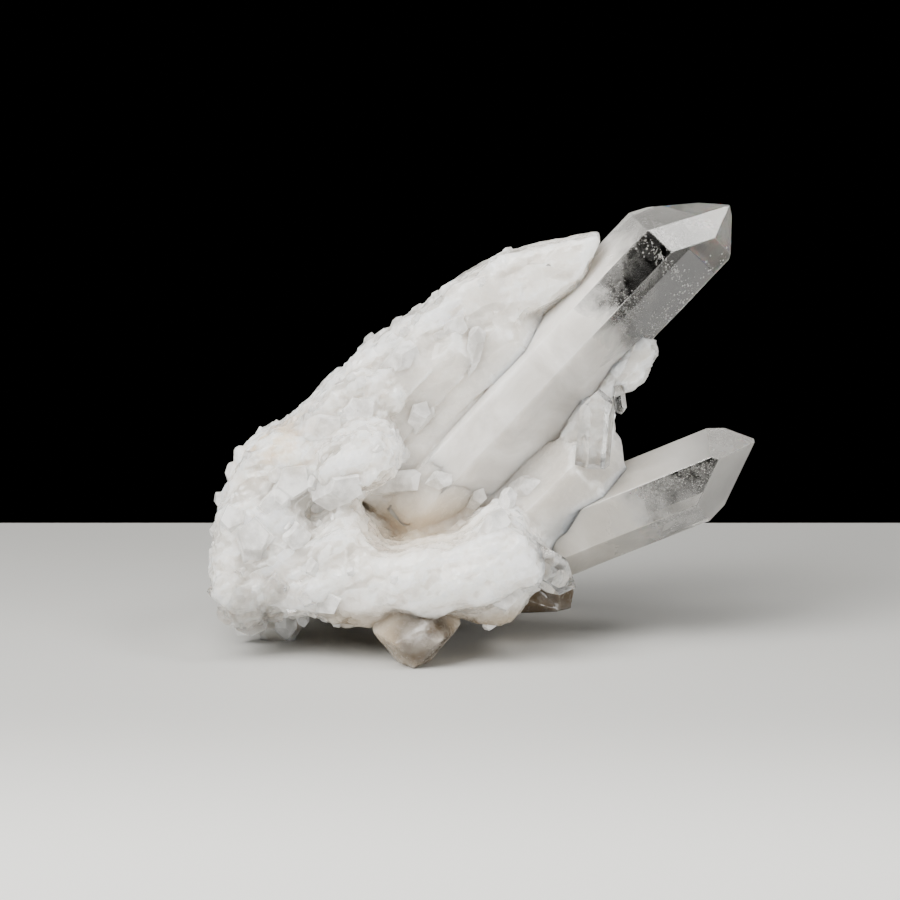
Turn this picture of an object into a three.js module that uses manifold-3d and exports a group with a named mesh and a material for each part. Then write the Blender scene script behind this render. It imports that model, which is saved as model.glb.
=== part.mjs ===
// Quartz cluster: one grown solid of joined crystals, drusy lumps and two long points.
// Units are millimetres, +Z is up, the side that shows both points faces -Y.
import * as THREE from 'three';
import { ConvexGeometry } from 'three/addons/geometries/ConvexGeometry.js';
import { mergeVertices } from 'three/addons/utils/BufferGeometryUtils.js';
import { ImprovedNoise } from 'three/addons/math/ImprovedNoise.js';
import Module from 'manifold-3d';

const wasm = await Module();
wasm.setup();

// Driving dimensions
const RHOMB_TILT = 51.79;          // degrees between a rhomb face's normal and the long axis
const MIDDLE_X = 11.5;             // drawing origin to the middle of the finished length
const MIDDLE_Y = 0.5;              // drawing origin to the middle of the finished depth
const SIGHT = new THREE.Vector3(0, 0.988, -0.153);
const UPPER_RISE = 47;             // degrees the upper point climbs towards +X
const UPPER_LEAN = 1.6;            // degrees the upper point comes forward
const LOWER_RISE = 24.3;
const LOWER_LEAN = 10.5;
const FLOOR = 0;                   // the resting plane
const FACET = 5.8;                 // size of the facets on the broken surface
const BLEND = 1.6;                 // over what distance the blocks run into each other
const RELIEF = 1.0;                // how far the broken surface swings in and out

// Small fixed-seed random numbers
function dice(seed) {
  let state = seed >>> 0;
  return () => {
    state = (state + 0x6d2b79f5) >>> 0;
    let t = state;
    t = Math.imul(t ^ (t >>> 15), t | 1);
    t ^= t + Math.imul(t ^ (t >>> 7), t | 61);
    return ((t ^ (t >>> 14)) >>> 0) / 4294967296;
  };
}

// Unit vector climbing `rise` degrees from +X and coming forward `lean` degrees
function heading(rise, lean) {
  const r = THREE.MathUtils.degToRad(rise);
  const l = THREE.MathUtils.degToRad(lean);
  return new THREE.Vector3(Math.cos(r) * Math.cos(l), -Math.sin(l), Math.sin(r) * Math.cos(l));
}

// Corner points of the solid bounded by planes n.x <= d
function corners(planes) {
  const points = [];
  const a = new THREE.Vector3();
  const b = new THREE.Vector3();
  const c = new THREE.Vector3();
  for (let i = 0; i < planes.length; i += 1) {
    for (let j = i + 1; j < planes.length; j += 1) {
      for (let k = j + 1; k < planes.length; k += 1) {
        a.crossVectors(planes[j].n, planes[k].n);
        const det = planes[i].n.dot(a);
        if (Math.abs(det) < 1e-6) continue;
        b.crossVectors(planes[k].n, planes[i].n);
        c.crossVectors(planes[i].n, planes[j].n);
        const p = new THREE.Vector3();
        p.addScaledVector(a, planes[i].d / det);
        p.addScaledVector(b, planes[j].d / det);
        p.addScaledVector(c, planes[k].d / det);
        const inside = planes.every((q) => q.n.dot(p) <= q.d + 1e-4);
        const fresh = points.every((q) => q.distanceTo(p) > 0.02);
        if (inside && fresh) points.push(p);
      }
    }
  }
  return points;
}

// A closed manifold solid from the hull of a point cloud
function hull(points) {
  const geometry = new ConvexGeometry(points);
  geometry.deleteAttribute('normal');
  geometry.deleteAttribute('uv');
  return solidOf(mergeVertices(geometry, 1e-3));
}

function solidOf(geometry) {
  const vertProperties = new Float32Array(geometry.attributes.position.array);
  const triVerts = new Uint32Array(geometry.index.array);
  return new wasm.Manifold(new wasm.Mesh({ numProp: 3, vertProperties, triVerts }));
}

// A quartz prism. Face 0 looks towards -Y and the others follow every 60 degrees. `sides` are the
// face distances from the line through `at`, `caps` the distances of the rhomb faces from `at`.
function prism({ at, axis, turn = 0, sides, caps, back }) {
  const front = SIGHT.clone().negate();
  front.addScaledVector(axis, -front.dot(axis)).normalize();
  const across = new THREE.Vector3().crossVectors(axis, front);
  const tilt = THREE.MathUtils.degToRad(RHOMB_TILT);
  const base = new THREE.Vector3(...at);
  const planes = [];
  for (let k = 0; k < 6; k += 1) {
    const angle = THREE.MathUtils.degToRad(turn + 60 * k);
    const side = front.clone().multiplyScalar(Math.cos(angle));
    side.addScaledVector(across, Math.sin(angle));
    const cap = side.clone().multiplyScalar(Math.sin(tilt)).addScaledVector(axis, Math.cos(tilt));
    planes.push({ n: side, d: side.dot(base) + sides[k] });
    planes.push({ n: cap, d: cap.dot(base) + caps[k] });
  }
  const away = axis.clone().negate();
  planes.push({ n: away, d: away.dot(base) + back });
  return hull(corners(planes));
}

// A crystal given by its tip. `width` is flat to flat, uneven faces come from the seed, and with
// `three` only every other rhomb face is grown.
function crystal({ tip, axis, rise, lean = 0, turn = 0, width, length, seed = 1, three = false }) {
  const along = axis ?? heading(rise, lean);
  const roll = dice(seed * 7919 + 13);
  const sides = [];
  const caps = [];
  for (let k = 0; k < 6; k += 1) {
    sides.push((width / 2) * (0.88 + 0.24 * roll()));
    const small = three ? 0.7 : 0.16;
    caps.push(width * (k % 2 === 0 ? 0.02 : small) * (0.4 + roll()));
  }
  return prism({ at: tip, axis: along, turn, sides, caps, back: length });
}

// An angular block: an outline in the X-Z plane at depth y[1], drawn in towards y[0] in front and
// y[2] behind by the shares in `inset` and `behind`
function block({ rim, y, inset = [0.66, 0.92], behind = inset, seed }) {
  const roll = dice(seed * 15485863 + 3);
  const middle = [0, 1].map((i) => rim.reduce((sum, p) => sum + p[i], 0) / rim.length);
  const cloud = [];
  rim.forEach(([x, z], i) => {
    cloud.push(new THREE.Vector3(x, y[1] + 3 * (roll() - 0.5), z));
    for (const side of [0, 2]) {
      const share = side === 0 ? inset : behind;
      const keep = share[0] + (share[1] - share[0]) * roll();
      const px = middle[0] + (x - middle[0]) * keep;
      const pz = middle[1] + (z - middle[1]) * keep;
      const sink = 0.22 * (y[1] - y[side]) * roll();
      if ((i + side) % 4 !== 3) cloud.push(new THREE.Vector3(px, y[side] + sink, pz));
    }
  });
  return cloud;
}

// A rough boulder: the hull of scattered points on an ellipsoid
function lump({ at, size, axis, rise = 0, lean = 0, seed, points = 26 }) {
  const along = axis ?? heading(rise, lean);
  const roll = dice(seed * 104729 + 7);
  const cloud = [];
  const turn = new THREE.Quaternion().setFromUnitVectors(new THREE.Vector3(1, 0, 0), along);
  for (let i = 0; i < points; i += 1) {
    const height = 1 - (2 * (i + 0.5)) / points;
    const ring = Math.sqrt(1 - height * height);
    const angle = i * 2.39996 + roll() * 0.9;
    const reach = 0.86 + 0.22 * roll();
    const p = new THREE.Vector3(ring * Math.cos(angle), ring * Math.sin(angle), height);
    p.multiplyScalar(reach).multiply(new THREE.Vector3(...size)).applyQuaternion(turn);
    cloud.push(p.add(new THREE.Vector3(...at)));
  }
  return cloud;
}

// The two long points
const upperPoint = prism({
  at: [78, 0, 130],
  axis: heading(UPPER_RISE, UPPER_LEAN),
  turn: -8,
  sides: [26.6, 9.9, 7.6, 11.4, 22.1, 27],
  caps: [29, 24.7, 21.7, 20.3, 29.1, 29.1],
  back: 128,
});
const lowerPoint = prism({
  at: [85, -10, 58],
  axis: heading(LOWER_RISE, LOWER_LEAN),
  turn: 0,
  sides: [15.2, 13.5, 12.3, 16.8, 15.6, 14],
  caps: [40, 14.2, 17.3, 40, 26.5, 21.8],
  back: 78,
});

// Angular blocks of milky quartz, from the top shoulder round to the front arm
const blocks = [
  // Top shoulder, the first step
  {
    rim: [[56, 153], [45, 150.5], [35, 148.5], [26, 145], [20, 145], [17, 131], [23, 122], [41, 123],
      [51, 138]],
    y: [-17, -1, 22], inset: [0.84, 0.94], behind: [0.5, 0.74], seed: 1, crisp: true,
  },
  // Second step
  {
    rim: [[30, 144], [22, 145], [15, 142], [11, 138], [6, 135], [1, 134], [-2, 130],
      [-3, 116], [8, 107], [26, 120]],
    y: [-17, 3, 30], inset: [0.84, 0.95], behind: [0.5, 0.8], seed: 2, crisp: true,
  },
  // Third step
  {
    rim: [[8, 133], [1, 133], [-8, 125], [-21, 117], [-29, 111], [-34, 108], [-32, 95],
      [-20, 87], [-5, 86], [9, 108]],
    y: [-18, 5, 28], inset: [0.76, 0.94], seed: 3,
  },
  // Crest
  {
    rim: [[-28, 108], [-33, 108], [-41, 100], [-46, 94], [-52, 89], [-60, 84], [-60, 73],
      [-47, 66], [-27, 74], [-21, 90]],
    y: [-27, 0, 26], seed: 4,
  },
  // Crown of the left end
  {
    rim: [[-59, 84], [-68, 80], [-73, 76], [-77, 74], [-80, 70], [-82, 64], [-83, 56],
      [-75, 45], [-56, 45], [-44, 60], [-45, 75]],
    y: [-35, -2, 24], seed: 5,
  },
  // Left end
  {
    rim: [[-82, 58], [-85, 55], [-87, 46], [-88, 36], [-90, 24], [-86, 16], [-78, 10],
      [-56, 9], [-42, 20], [-42, 42], [-55, 60]],
    y: [-44, -10, 20], seed: 6,
  },
  // Bright lobe over the hollow
  {
    rim: [[-43, 81], [-31, 87], [-20, 84], [-16, 76], [-17, 68], [-21, 65], [-29, 59],
      [-40, 57], [-50, 58], [-53, 69]],
    y: [-45, -25, 4], seed: 7,
  },
  // Knee, left of the hollow
  {
    rim: [[-42, 55], [-35, 57], [-30, 52], [-26, 41], [-20, 34], [-19, 19], [-26, 10],
      [-38, 9], [-48, 12], [-55, 19], [-52, 40]],
    y: [-50, -25, 4], seed: 8,
  },
  // Front arm
  {
    rim: [[-27, 41], [2, 43], [11, 47], [18, 42], [20, 25], [7, 20], [-7, 17], [-22, 18],
      [-28, 25]],
    y: [-57, -35, -2], seed: 9,
  },
  // Head of the arm
  {
    rim: [[4, 46], [10, 53], [20, 59], [22, 58], [23, 52], [29, 48], [33, 41], [38, 36],
      [39, 31], [32, 25], [20, 22], [7, 24]],
    y: [-57, -34, -6], seed: 10,
  },
  // Lip under the arm
  {
    rim: [[1, 20], [18, 25], [30, 26], [29, 23], [27, 18], [24, 14], [21, 12.5], [15, 11.5],
      [7, 12.5], [-4, 15.5]],
    y: [-46, -28, -2], seed: 11,
  },
  // Front foot
  {
    rim: [[-29, 12], [-18, -1.5], [-14, -4], [-9, -3], [-5, 3], [5, 14], [-4, 22], [-20, 22]],
    y: [-54, -38, -16], inset: [0.5, 0.62], seed: 12, crisp: true,
  },
  // Plates under the upper point
  {
    rim: [[77, 112], [76, 109], [74, 103], [72, 97.5], [69, 95.5], [65, 93], [56, 91],
      [50, 96], [60, 112], [70, 116]],
    y: [-10, -1, 12], inset: [0.84, 0.94], seed: 13, crisp: true,
  },
  // Waist between the two points
  {
    rim: [[59, 94], [61, 86], [62, 75], [58, 62], [41, 60], [40, 79], [48, 92]],
    y: [-10, 0, 16], inset: [0.84, 0.94], seed: 14, crisp: true,
  },
  // Root of the lower point
  {
    rim: [[56, 62], [58, 55], [46, 36], [47, 23], [34, 19], [19, 29], [21, 47], [40, 62]],
    y: [-16, 2, 24], inset: [0.75, 0.95], seed: 15,
  },
];

// Crystals that run beside the upper point
const bundle = [
  { tip: [35, -2, 128], rise: 47, lean: 1, turn: 14, width: 28, length: 100, seed: 3 },
  { tip: [50, 5, 143], rise: 47, lean: 2, turn: 10, width: 22, length: 90, seed: 5 },
  { tip: [13, -9.5, 122.5], rise: 47, lean: 2, turn: 20, width: 21, length: 66, seed: 15 },
  { tip: [-1, -11.5, 118], rise: 47, lean: 4, turn: 6, width: 21, length: 56, seed: 17 },
  { tip: [62, -4, 77], rise: 46, lean: 2, turn: 14, width: 32, length: 84, seed: 19 },
  { tip: [40, 26, 122], rise: 50, lean: -4, turn: 12, width: 27, length: 100, seed: 25 },
  { tip: [10, 38, 104], rise: 50, lean: -8, turn: 25, width: 28, length: 88, seed: 27 },
  { tip: [-30, 34, 86], rise: 60, lean: -8, turn: 5, width: 26, length: 70, seed: 29 },
  { tip: [62, 26, 88], rise: 40, lean: -6, turn: 15, width: 22, length: 78, seed: 31 },
  { tip: [48, 44, 56], rise: 30, lean: -16, turn: 30, width: 19, length: 56, seed: 33 },
];

// Clear small crystals round the body
const clearSmall = [
  { tip: [54, -19, 96], rise: 86, lean: 4, turn: 12, width: 11.5, length: 28, seed: 41 },
  { tip: [63, -8, 85.5], rise: -82, lean: 2, turn: 20, width: 4.6, length: 11, seed: 43 },
  { tip: [44.5, -44, 28.5], rise: -28, lean: 14, turn: 8, width: 12.5, length: 20, seed: 45 },
  { tip: [-79, -13, 3.5], rise: -128, lean: 10, turn: 10, width: 12, length: 22, seed: 47 },
  { tip: [-60.5, -15, 2], rise: -88, lean: 6, turn: 24, width: 8.4, length: 16, seed: 49 },
  { tip: [-53.5, -22, 8.5], rise: -80, lean: 16, turn: 3, width: 4.2, length: 10, seed: 51 },
  { tip: [-44, -42, 16.5], rise: -60, lean: 40, turn: 14, width: 9, length: 16, seed: 53 },
];

// Single small crystals that catch the light on the show side
const accents = [
  { tip: [-22, -21.5, 103], rise: 60, lean: 20, turn: 25, width: 9, length: 12, seed: 74, three: true },
  { tip: [-16.5, -23, 96], rise: 40, lean: 24, turn: 55, width: 8, length: 12, seed: 75, three: true },
  { tip: [-80.5, -20, 66.5], rise: 150, lean: 10, turn: 15, width: 10, length: 14, seed: 81, three: true },
  { tip: [-83.5, -22, 57], rise: 165, lean: 15, turn: 50, width: 9, length: 12, seed: 82, three: false },
  { tip: [-86, -24, 41], rise: 175, lean: 10, turn: 0, width: 10, length: 12, seed: 83, three: true },
  { tip: [-78.5, -12, 73.5], rise: 130, lean: 10, turn: 10, width: 9, length: 12, seed: 84, three: false },
  { tip: [-85.5, -34, 26], rise: 200, lean: 24, turn: 5, width: 9, length: 14, seed: 85, three: true },
  { tip: [-81, -34, 11], rise: 235, lean: 24, turn: 25, width: 10, length: 16, seed: 86, three: false },
  { tip: [-45.5, -48, 23], rise: -70, lean: 40, turn: 0, width: 9, length: 14, seed: 94, three: false },
];

// Feet that reach the resting plane
const feet = [
  { tip: [47, 50, -3.5], rise: -22, lean: -18, turn: 30, width: 15, length: 40, seed: 63 },
  { tip: [-66, -4, -4.5], rise: -100, lean: 2, turn: 5, width: 17, length: 34, seed: 65 },
  { tip: [-44, 40, -5], rise: -96, lean: -14, turn: 22, width: 22, length: 40, seed: 67 },
  { tip: [42, 51, -6], rise: -84, lean: -14, turn: 12, width: 15, length: 32, seed: 69 },
];

// Rounded masses behind and under the blocks
const boulders = [
  { at: [-12, 12, 48], size: [40, 26, 26], rise: 40, seed: 13, points: 40 },
  { at: [-26, 26, 38], size: [32, 26, 22], rise: 20, seed: 14, points: 36 },
  { at: [14, 28, 34], size: [32, 24, 22], rise: 20, seed: 15, points: 36 },
  { at: [-56, 18, 40], size: [26, 22, 24], rise: 40, seed: 16, points: 30 },
  { at: [-34, 26, 64], size: [28, 20, 20], rise: 45, seed: 17, points: 30 },
  { at: [30, 8, 36], size: [24, 24, 14], rise: 24, seed: 18, points: 30 },
];

// Outward planes of the hull of a point cloud
function planesOf(cloud) {
  const p = new ConvexGeometry(cloud).attributes.position;
  const planes = [];
  for (let i = 0; i < p.count; i += 3) {
    const [a, b, c] = [0, 1, 2].map((k) => new THREE.Vector3().fromBufferAttribute(p, i + k));
    const n = b.clone().sub(a).cross(c.sub(a)).normalize();
    const d = n.dot(a);
    if (planes.every((q) => q.n.dot(n) < 0.9999 || Math.abs(q.d - d) > 0.01)) planes.push({ n, d });
  }
  return planes;
}

// How far a point is outside the grown mass: the blocks run into each other over `BLEND`, and
// broad and fine noise break the surface
function massField(parts) {
  const noise = new ImprovedNoise();
  return (p) => {
    let sum = 0;
    for (const planes of parts) {
      let out = -1e9;
      for (const q of planes) out = Math.max(out, q.n.dot(p) - q.d);
      sum += Math.exp(-Math.max(out, -40) / BLEND);
    }
    const broad = noise.noise(p.x / 14 + 3.1, p.y / 14 + 7.7, p.z / 14 + 1.3);
    const fine = noise.noise(p.x / 6.1 + 9.2, p.y / 6.1 + 2.8, p.z / 6.1 + 5.9);
    return -BLEND * Math.log(sum) + RELIEF * (1.3 * broad + 0.9 * fine) + 0.2;
  };
}

// Closed faceted skin of a field, with one corner in every grid cell that the surface crosses
function skin(field, low, high, step) {
  const n = low.map((v, i) => Math.ceil((high[i] - v) / step) + 1);
  const index = (i, j, k) => (k * n[1] + j) * n[0] + i;
  const place = (i, j, k) => new THREE.Vector3(low[0] + i * step, low[1] + j * step, low[2] + k * step);
  const value = new Float64Array(n[0] * n[1] * n[2]);
  for (let k = 0; k < n[2]; k += 1) {
    for (let j = 0; j < n[1]; j += 1) {
      for (let i = 0; i < n[0]; i += 1) value[index(i, j, k)] = field(place(i, j, k));
    }
  }
  const ends = [];
  for (let a = 0; a < 8; a += 1) {
    for (const bit of [1, 2, 4]) {
      if (!(a & bit)) ends.push([a, a | bit]);
    }
  }
  const roll = dice(977);
  const cell = new Int32Array(value.length).fill(-1);
  const points = [];
  for (let k = 0; k < n[2] - 1; k += 1) {
    for (let j = 0; j < n[1] - 1; j += 1) {
      for (let i = 0; i < n[0] - 1; i += 1) {
        const spot = (a) => [i + (a & 1), j + ((a >> 1) & 1), k + ((a >> 2) & 1)];
        const mean = new THREE.Vector3();
        let crossings = 0;
        for (const [a, b] of ends) {
          const va = value[index(...spot(a))];
          const vb = value[index(...spot(b))];
          if (va < 0 === vb < 0) continue;
          mean.add(place(...spot(a)).lerp(place(...spot(b)), va / (va - vb)));
          crossings += 1;
        }
        if (crossings === 0) continue;
        mean.divideScalar(crossings);
        mean.add(new THREE.Vector3(roll() - 0.5, roll() - 0.5, roll() - 0.5).multiplyScalar(step * 0.2));
        cell[index(i, j, k)] = points.length;
        points.push(mean);
      }
    }
  }
  const faces = [];
  const quad = (a, b, c, d, flip) => {
    const ring = flip ? [d, c, b, a] : [a, b, c, d];
    const [p, q, r, t] = ring.map((v) => points[v]);
    if (p.distanceTo(r) < q.distanceTo(t)) {
      faces.push(ring[0], ring[1], ring[2], ring[0], ring[2], ring[3]);
    } else {
      faces.push(ring[1], ring[2], ring[3], ring[1], ring[3], ring[0]);
    }
  };
  for (let k = 1; k < n[2] - 1; k += 1) {
    for (let j = 1; j < n[1] - 1; j += 1) {
      for (let i = 1; i < n[0] - 1; i += 1) {
        const inside = value[index(i, j, k)] < 0;
        const at = (x, y, z) => cell[index(i - x, j - y, k - z)];
        if (inside !== value[index(i + 1, j, k)] < 0) {
          quad(at(0, 1, 1), at(0, 0, 1), at(0, 0, 0), at(0, 1, 0), !inside);
        }
        if (inside !== value[index(i, j + 1, k)] < 0) {
          quad(at(1, 0, 1), at(1, 0, 0), at(0, 0, 0), at(0, 0, 1), !inside);
        }
        if (inside !== value[index(i, j, k + 1)] < 0) {
          quad(at(1, 1, 0), at(0, 1, 0), at(0, 0, 0), at(1, 0, 0), !inside);
        }
      }
    }
  }
  const g = new THREE.BufferGeometry();
  g.setAttribute('position', new THREE.Float32BufferAttribute(points.flatMap((p) => p.toArray()), 3));
  g.setIndex(faces);
  return solidOf(g);
}

const soft = blocks.filter((spec) => !spec.crisp).map((spec) => block(spec));
const parts = [...soft, ...boulders.map((spec) => lump(spec))].map(planesOf);
let body = skin(massField(parts), [-102, -70, -10], [84, 68, 166], FACET);
body = body.add(upperPoint).add(lowerPoint);
for (const spec of blocks.filter((item) => item.crisp)) {
  body = body.add(hull(block(spec)));
}
for (const spec of [...bundle, ...clearSmall, ...feet, ...accents]) {
  body = body.add(crystal(spec));
}

// Small growths sown over a patch: rays go from a box of starting points onto the body, and each
// growth leans between the surface it stands on and the patch's own growing direction
function sow(target, { from, spread, towards, grow, width, out, count, seed }) {
  const roll = dice(seed * 32452843 + 11);
  const ray = new THREE.Raycaster();
  const way = new THREE.Vector3(...towards).normalize();
  const pull = heading(grow[0], grow[1]).multiplyScalar(grow[2]);
  const found = [];
  for (let tries = 0; tries < count * 5 && found.length < count; tries += 1) {
    const start = new THREE.Vector3(...from.map((c, i) => c + spread[i] * (2 * roll() - 1)));
    ray.set(start, way);
    const hit = ray.intersectObject(target)[0];
    const size = width[0] + (width[1] - width[0]) * roll();
    if (!hit || found.some((f) => f.foot.distanceTo(hit.point) < 0.42 * (f.size + size))) continue;
    const normal = hit.face.normal.clone();
    const axis = normal.clone().add(pull);
    axis.add(new THREE.Vector3(roll() - 0.5, roll() - 0.5, roll() - 0.5).multiplyScalar(0.9)).normalize();
    const reach = out[0] + (out[1] - out[0]) * roll();
    found.push({ foot: hit.point, axis, size, reach, turn: 60 * roll() });
  }
  return found.map((f, i) => bud(f, seed * 1000 + i));
}

// A short crystal standing out of the surface
function bud({ foot, axis, size, reach, turn }, seed) {
  const tip = foot.clone().addScaledVector(axis, reach).toArray();
  return crystal({ tip, axis, turn, width: size, length: reach + size * 0.8, three: true, seed });
}

function meshOf(solid) {
  const g = outerShell(solid.getMesh());
  return new THREE.Mesh(g, new THREE.MeshStandardMaterial());
}

const patches = [
  { from: [-6, 140, 56], spread: [66, 0, 44], towards: [0, -1, 0], grow: [50, -40, 1],
    width: [12, 19], out: [2, 6], count: 14, seed: 7 },
];
const sown = meshOf(body);
for (const patch of patches) {
  for (const grain of sow(sown, patch)) {
    body = body.add(grain);
  }
}

// Everything under the resting plane is cut off flat
const slab = solidOf(mergeVertices(new THREE.BoxGeometry(400, 400, 100).deleteAttribute('normal')
  .deleteAttribute('uv').translate(0, 0, FLOOR - 50)));
body = body.subtract(slab);

// Keeps the outer shell only, so pockets sealed between boulders are solid quartz
function outerShell(mesh) {
  const parent = [];
  const count = mesh.vertProperties.length / 3;
  for (let i = 0; i < count; i += 1) parent.push(i);
  const root = (i) => {
    let r = i;
    while (parent[r] !== r) {
      parent[r] = parent[parent[r]];
      r = parent[r];
    }
    return r;
  };
  for (let t = 0; t < mesh.triVerts.length; t += 3) {
    parent[root(mesh.triVerts[t])] = root(mesh.triVerts[t + 1]);
    parent[root(mesh.triVerts[t + 1])] = root(mesh.triVerts[t + 2]);
  }
  let lowest = 0;
  for (let i = 0; i < count; i += 1) {
    if (mesh.vertProperties[3 * i] < mesh.vertProperties[3 * lowest]) lowest = i;
  }
  const shell = root(lowest);
  const kept = [];
  for (let t = 0; t < mesh.triVerts.length; t += 3) {
    if (root(mesh.triVerts[t]) === shell) {
      kept.push(mesh.triVerts[t], mesh.triVerts[t + 1], mesh.triVerts[t + 2]);
    }
  }
  const g = new THREE.BufferGeometry();
  g.setAttribute('position', new THREE.BufferAttribute(new Float32Array(mesh.vertProperties), 3));
  g.setIndex(kept);
  return g;
}

// Merges corners closer than a hundredth of a millimetre and drops the triangles that this folds
function cleaned(source) {
  const g = mergeVertices(source, 0.01);
  const kept = new Map();
  const index = g.index.array;
  for (let t = 0; t < index.length; t += 3) {
    const [a, b, c] = [index[t], index[t + 1], index[t + 2]];
    if (a === b || b === c || c === a) continue;
    const key = [a, b, c].sort((p, q) => p - q).join(' ');
    if (kept.has(key)) kept.delete(key);
    else kept.set(key, [a, b, c]);
  }
  g.setIndex([...kept.values()].flat());
  return g;
}

// Edges where more than two faces meet, as pairs of points
function pinches(g) {
  const meets = new Map();
  const index = g.index.array;
  for (let t = 0; t < index.length; t += 3) {
    for (let k = 0; k < 3; k += 1) {
      const ends = [index[t + k], index[t + ((k + 1) % 3)]].sort((p, q) => p - q).join(' ');
      meets.set(ends, (meets.get(ends) ?? 0) + 1);
    }
  }
  const corner = (i) => new THREE.Vector3().fromBufferAttribute(g.attributes.position, Number(i));
  return [...meets].filter(([, n]) => n > 2).map(([ends]) => ends.split(' ').map(corner));
}

// A small grain grown over every pinched edge, so that the stone is thick there
let shell = cleaned(outerShell(body.getMesh()));
for (let round = 0; round < 4 && pinches(shell).length > 0; round += 1) {
  pinches(shell).forEach(([from, to], i) => {
    const at = from.clone().lerp(to, 0.5).toArray();
    const reach = from.distanceTo(to) / 2 + 0.9;
    const axis = to.clone().sub(from).normalize();
    body = body.add(hull(lump({ at, size: [reach, 1.3, 1.3], axis, seed: 300 + i, points: 10 })));
  });
  body = body.subtract(slab);
  shell = cleaned(outerShell(body.getMesh()));
}

const geometry = shell.translate(-MIDDLE_X, -MIDDLE_Y, 0);
geometry.computeVertexNormals();

const stone = new THREE.MeshStandardMaterial({ color: 0xe6e2dc, roughness: 0.35, metalness: 0 });
const cluster = new THREE.Mesh(geometry, stone);
cluster.name = 'quartz_cluster';

const group = new THREE.Group();
group.name = 'quartz_cluster_object';
group.add(cluster);

export default group;
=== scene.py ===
import math
import random

import bmesh
import numpy as np
import bpy
from mathutils import Euler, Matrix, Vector, noise
from mathutils.bvhtree import BVHTree


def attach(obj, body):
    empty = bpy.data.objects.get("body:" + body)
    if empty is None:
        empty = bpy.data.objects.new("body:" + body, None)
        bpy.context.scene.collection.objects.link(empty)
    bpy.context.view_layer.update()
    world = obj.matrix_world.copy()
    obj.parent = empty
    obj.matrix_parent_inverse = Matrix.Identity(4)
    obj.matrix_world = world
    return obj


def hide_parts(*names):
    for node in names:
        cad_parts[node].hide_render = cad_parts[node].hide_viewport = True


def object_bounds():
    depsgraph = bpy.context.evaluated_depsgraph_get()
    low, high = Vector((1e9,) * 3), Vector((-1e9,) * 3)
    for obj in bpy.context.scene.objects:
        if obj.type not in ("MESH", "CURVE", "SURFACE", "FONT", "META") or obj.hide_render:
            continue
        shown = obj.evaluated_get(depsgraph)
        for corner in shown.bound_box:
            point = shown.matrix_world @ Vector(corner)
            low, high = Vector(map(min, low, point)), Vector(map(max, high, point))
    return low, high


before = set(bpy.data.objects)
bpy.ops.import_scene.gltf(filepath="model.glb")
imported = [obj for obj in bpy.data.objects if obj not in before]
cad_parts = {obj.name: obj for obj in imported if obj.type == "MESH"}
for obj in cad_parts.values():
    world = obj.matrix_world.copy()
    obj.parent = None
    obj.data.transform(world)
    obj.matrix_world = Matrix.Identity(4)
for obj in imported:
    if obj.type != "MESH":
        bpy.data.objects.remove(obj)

CAD_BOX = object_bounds()
MM = 0.001
X_WAY, Y_WAY, Z_WAY = (1, 0, 0), (0, 1, 0), (0, 0, 1)
ORIGIN = (0, 0, 0)

# Drawing origin to the row frame's origin, and the view's line of sight
MIDDLE = Vector((11.5, 0.5, 0.0)) * MM
SIGHT = Vector((0, 0.988, -0.153))

# The photograph's view, from the board's edges: lens and width in pixels, the eye's place in drawing
# millimetres, and how far it looks down
LENS_PIXELS = 2143
PHOTO_PIXELS = 900
EYE = (0, -790, 193)
LOOK_DOWN = 8.78

# Angle between a prism's axis and the outward normal of its end faces, in quartz
RHOMB_TILT = math.radians(51.79)
QUARTZ_IOR = 1.544

# Milky stone: how deep light goes in, in metres, and how far red, green and blue spread
MILK_DEPTH = 0.013
MILK_SPREAD = (1.0, 0.94, 0.88)

# Clearance in millimetres between a clear crystal and the pocket that holds it
POCKET_GAP = 0.02

# The two long points, with the places and face distances of the solids, in millimetres
UPPER = dict(at=(78, 0, 130), rise=47, lean=1.6, turn=-8, back=128,
             sides=(26.6, 9.9, 7.6, 11.4, 22.1, 27), caps=(29, 24.7, 21.7, 20.3, 29.1, 29.1))
LOWER = dict(at=(85, -10, 58), rise=24.3, lean=10.5, turn=0, back=78,
             sides=(15.2, 13.5, 12.3, 16.8, 15.6, 14), caps=(40, 14.2, 17.3, 40, 26.5, 21.8))

# Clear small crystals, as in the solids
CLEAR = {
    "window_crystal": dict(tip=(54, -19, 96), rise=86, lean=4, turn=12, width=11.5, length=28, seed=41),
    "hanging_crystal": dict(tip=(63, -8, 85.5), rise=-82, lean=2, turn=20, width=4.6, length=11, seed=43),
    "arm_end_crystal": dict(tip=(44.5, -44, 28.5), rise=-28, lean=14, turn=8, width=12.5, length=20,
                            seed=45),
    "left_clear_crystal": dict(tip=(-79, -13, 3.5), rise=-128, lean=10, turn=10, width=12, length=22,
                               seed=47),
    "drop_crystal": dict(tip=(-60.5, -15, 2), rise=-88, lean=6, turn=24, width=8.4, length=16, seed=49),
    "loop_crystal": dict(tip=(-53.5, -22, 8.5), rise=-80, lean=16, turn=3, width=4.2, length=10, seed=51),
}


def heading(rise, lean):
    """Unit vector climbing rise degrees from +X and coming forward lean degrees."""
    r, l = math.radians(rise), math.radians(lean)
    return Vector((math.cos(r) * math.cos(l), -math.sin(l), math.sin(r) * math.cos(l)))


def dice(seed):
    """The same small random numbers as the solids use."""
    state = [seed & 0xFFFFFFFF]

    def roll():
        state[0] = (state[0] + 0x6D2B79F5) & 0xFFFFFFFF
        t = state[0]
        t = ((t ^ (t >> 15)) * (t | 1)) & 0xFFFFFFFF
        t ^= (t + (t ^ (t >> 7)) * (t | 61)) & 0xFFFFFFFF
        return (t ^ (t >> 14)) / 4294967296

    return roll


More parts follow.
